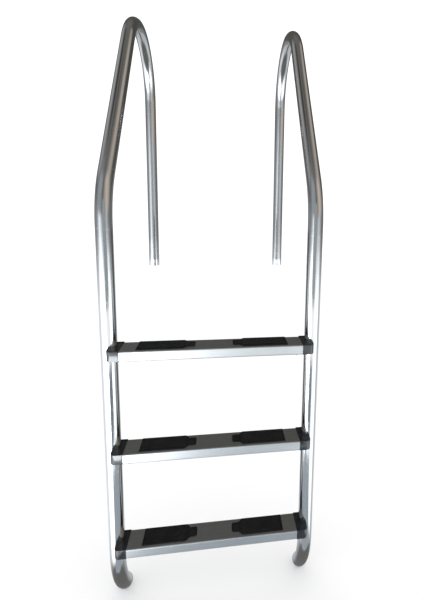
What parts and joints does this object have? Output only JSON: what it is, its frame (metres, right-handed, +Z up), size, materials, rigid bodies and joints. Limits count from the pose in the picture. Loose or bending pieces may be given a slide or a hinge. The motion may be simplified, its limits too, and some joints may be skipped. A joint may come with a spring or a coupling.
{
  "type": "pool ladder",
  "caption": "Stainless pool ladder: bent tube rails that arch back to the deck, folded steel treads, moulded end caps and rubber non-slip pads.",
  "frame": {"origin": "bottom centre of the ladder's box: midway between the rails, at the height of the feet's lowest point", "axes": "+Z up; +X across the ladder towards its right rail; +Y from the pool towards the deck"},
  "size_m": [0.533, 0.7134, 1.6369],
  "materials": {
    "rail_steel": "polished stainless tube",
    "tread_steel": "satin stainless sheet",
    "fastener_steel": "plain stainless fasteners",
    "black_plastic": "glossy black moulding",
    "grey_plastic": "dull grey moulding",
    "black_rubber": "ribbed black rubber"
  },
  "bodies": {
    "root": {"bolt_washers": "fastener_steel", "bottom_left_end_cap": "black_plastic", "bottom_left_pad": "black_rubber", "bottom_right_end_cap": "black_plastic", "bottom_right_pad": "black_rubber", "bottom_tread": "tread_steel", "cap_screws": "fastener_steel", "left_foot_plug": "grey_plastic", "left_rail": "rail_steel", "middle_left_end_cap": "black_plastic", "middle_left_pad": "black_rubber", "middle_right_end_cap": "black_plastic", "middle_right_pad": "black_rubber", "middle_tread": "tread_steel", "rail_inserts": "fastener_steel", "right_foot_plug": "grey_plastic", "right_rail": "rail_steel", "top_left_end_cap": "black_plastic", "top_left_pad": "black_rubber", "top_right_end_cap": "black_plastic", "top_right_pad": "black_rubber", "top_tread": "tread_steel", "tread_bolts": "fastener_steel"}
  },
  "joints": []
}
